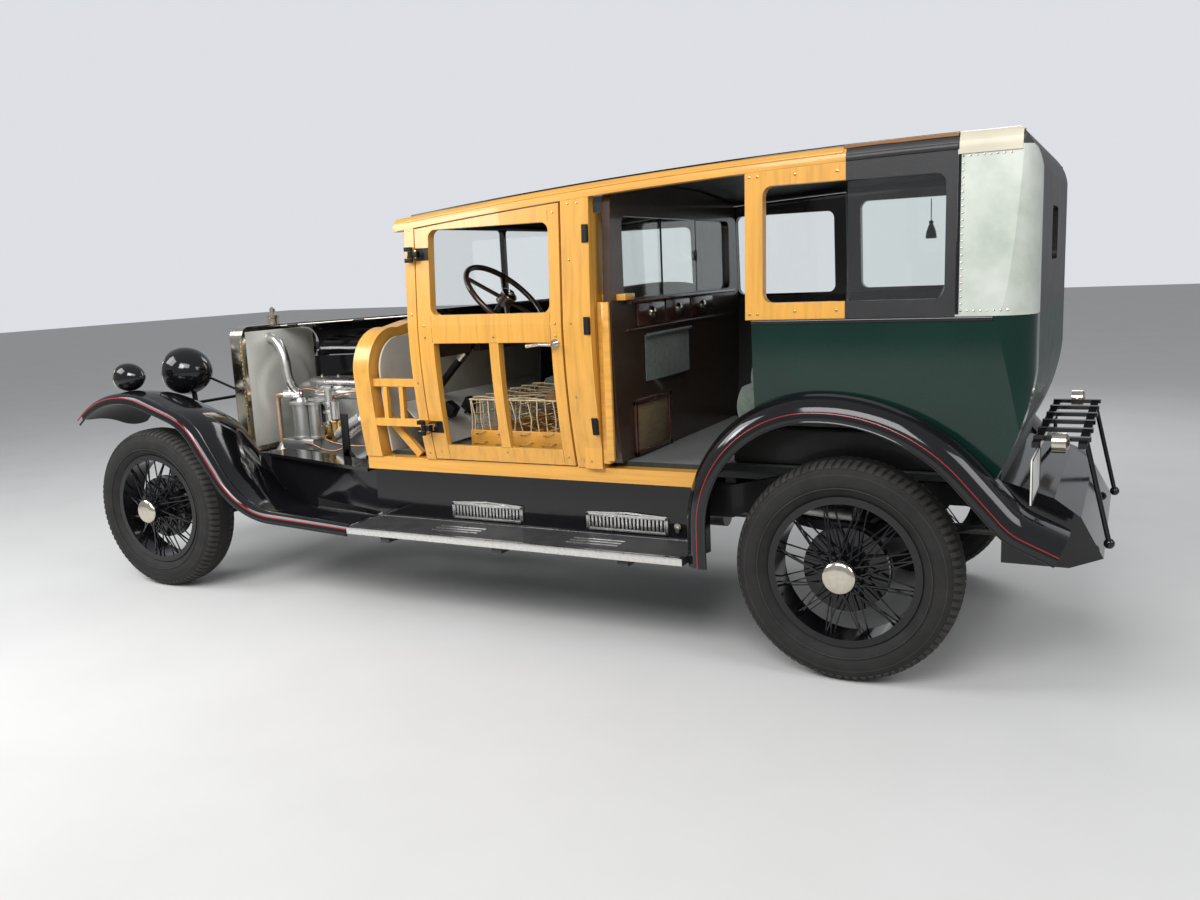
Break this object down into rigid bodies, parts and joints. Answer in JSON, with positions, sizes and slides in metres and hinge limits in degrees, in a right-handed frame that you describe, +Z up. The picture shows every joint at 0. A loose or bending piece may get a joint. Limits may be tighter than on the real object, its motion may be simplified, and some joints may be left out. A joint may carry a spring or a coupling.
{
  "type": "1920s limousine, half clothed",
  "caption": "Long 1920s saloon with wire wheels, its left side stripped to the ash frame, open doorway and engine, its right side fully panelled.",
  "frame": {"origin": "on the floor, under the middle of the car's overall box", "axes": "+X forward, +Y to the car's left, +Z up"},
  "size_m": [5.001, 1.744, 1.9957],
  "materials": {
    "ash_wood": "clear varnished, satin",
    "green_paint": "dark green gloss",
    "black_paint": "black gloss",
    "black_fabric": "grained leathercloth",
    "pale_panel": "pale grey-green primer, satin",
    "chassis_paint": "black semi-gloss",
    "tyre_rubber": "matt",
    "wheel_paint": "black gloss with a nickel cap",
    "bare_aluminium": "polished casting",
    "cast_engine": "cast grey",
    "nickel": "polished nickel",
    "radiator_metal": "nickelled brass",
    "radiator_fins": "dark tubes",
    "exhaust_steel": "heat dulled",
    "grey_sheet": "pale grey sheet",
    "floor_wood": "boards under grey-green carpet",
    "seat_stuffing": "hair stuffing over springs",
    "seat_cloth": "grey-green cloth",
    "trim_wood": "dark stained",
    "lamp_black": "black gloss",
    "plate_white": "blank plate",
    "board_top": "ribbed mat in aluminium edging"
  },
  "bodies": {
    "car": {"back_panel": "black_fabric", "bonnet_rod": "nickel", "bonnet_side_right": "black_paint", "bulkhead": "grey_sheet", "centre_post": "ash_wood", "corner_panel": "pale_panel", "cowl_frame": "ash_wood", "cowl_skin": "black_paint", "cross_members": "chassis_paint", "dashboard": "trim_wood", "engine_block": "cast_engine", "engine_head": "bare_aluminium", "exhaust": "exhaust_steel", "floor": "floor_wood", "frame_rails": "chassis_paint", "front_axle": "chassis_paint", "front_lamps": "lamp_black", "front_post": "ash_wood", "front_seat": "seat_stuffing", "front_wings": "black_paint", "fuel_tank": "black_paint", "gearbox": "cast_engine", "leaf_springs": "chassis_paint", "lower_quarter": "green_paint", "luggage_rack": "black_paint", "number_plate": "plate_white", "partition": "trim_wood", "quarter_cover": "black_fabric", "radiator_core": "radiator_fins", "radiator_shell": "radiator_metal", "rear_axle": "chassis_paint", "rear_lamps": "nickel", "rear_post": "ash_wood", "rear_seat": "seat_cloth", "rear_wings": "black_paint", "right_side": "green_paint", "roof": "black_fabric", "roof_rail": "ash_wood", "running_boards": "board_top", "sill_left": "ash_wood", "steering_column": "chassis_paint", "valances": "black_paint", "vents": "bare_aluminium", "windscreen": "black_paint"},
    "wheel_front_left": {"tyre_front_left": "tyre_rubber", "wire_wheel_front_left": "wheel_paint"},
    "wheel_front_right": {"tyre_front_right": "tyre_rubber", "wire_wheel_front_right": "wheel_paint"},
    "wheel_rear_left": {"tyre_rear_left": "tyre_rubber", "wire_wheel_rear_left": "wheel_paint"},
    "wheel_rear_right": {"tyre_rear_right": "tyre_rubber", "wire_wheel_rear_right": "wheel_paint"},
    "knuckle_left": {"knuckle_left": "chassis_paint"},
    "knuckle_right": {"knuckle_right": "chassis_paint"},
    "track_rod": {"tie_rod": "chassis_paint"},
    "steering_wheel": {"steering_wheel": "trim_wood"},
    "front_left_door": {"door_front_left": "ash_wood"},
    "front_right_door": {"door_front_right": "green_paint"},
    "rear_right_door": {"door_rear_right": "green_paint"},
    "bonnet": {"bonnet_right": "black_paint"}
  },
  "joints": [
    {"name": "steer_left", "type": "hinge", "parent": "car", "child": "knuckle_left", "pos_m": [2.0155, 0.64, 0.42], "axis": [0, 0, 1], "range_deg": [-30, 30]},
    {"name": "steer_right", "type": "hinge", "parent": "car", "child": "knuckle_right", "pos_m": [2.0155, -0.64, 0.42], "axis": [0, 0, 1], "range_deg": [-30, 30]},
    {"name": "track_rod_pivot", "type": "hinge", "parent": "knuckle_left", "child": "track_rod", "pos_m": [1.8455, 0.64, 0.36], "axis": [0, 0, 1], "range_deg": [-30, 30]},
    {"name": "steering_wheel_turn", "type": "hinge", "parent": "car", "child": "steering_wheel", "pos_m": [0.0555, 0.345, 1.44], "axis": [-0.7071, 0, 0.7071], "range_deg": [-360, 360]},
    {"name": "roll_front_left", "type": "hinge", "parent": "knuckle_left", "child": "wheel_front_left", "pos_m": [2.0155, 0.725, 0.42], "axis": [0, 1, 0], "continuous": true},
    {"name": "roll_front_right", "type": "hinge", "parent": "knuckle_right", "child": "wheel_front_right", "pos_m": [2.0155, -0.725, 0.42], "axis": [0, 1, 0], "continuous": true},
    {"name": "roll_rear_left", "type": "hinge", "parent": "car", "child": "wheel_rear_left", "pos_m": [-1.6145, 0.725, 0.42], "axis": [0, 1, 0], "continuous": true},
    {"name": "roll_rear_right", "type": "hinge", "parent": "car", "child": "wheel_rear_right", "pos_m": [-1.6145, -0.725, 0.42], "axis": [0, 1, 0], "continuous": true},
    {"name": "front_left_door_swing", "type": "hinge", "parent": "car", "child": "front_left_door", "pos_m": [0.233, 0.802, 1.2], "axis": [0, 0, -1], "range_deg": [0, 65]},
    {"name": "front_right_door_swing", "type": "hinge", "parent": "car", "child": "front_right_door", "pos_m": [0.233, -0.802, 1.2], "axis": [0, 0, 1], "range_deg": [0, 65]},
    {"name": "rear_right_door_swing", "type": "hinge", "parent": "car", "child": "rear_right_door", "pos_m": [-0.632, -0.802, 1.2], "axis": [0, 0, 1], "range_deg": [0, 65]},
    {"name": "bonnet_lift", "type": "hinge", "parent": "car", "child": "bonnet", "pos_m": [0.6385, 0, 1.3705], "axis": [-0.9991, 0, 0.0421], "range_deg": [0, 60]}
  ],
  "couplings": [
    {"joint": "steer_right", "follows": "steer_left", "ratio": 1},
    {"joint": "track_rod_pivot", "follows": "steer_left", "ratio": -1},
    {"joint": "steering_wheel_turn", "follows": "steer_left", "ratio": 12}
  ]
}
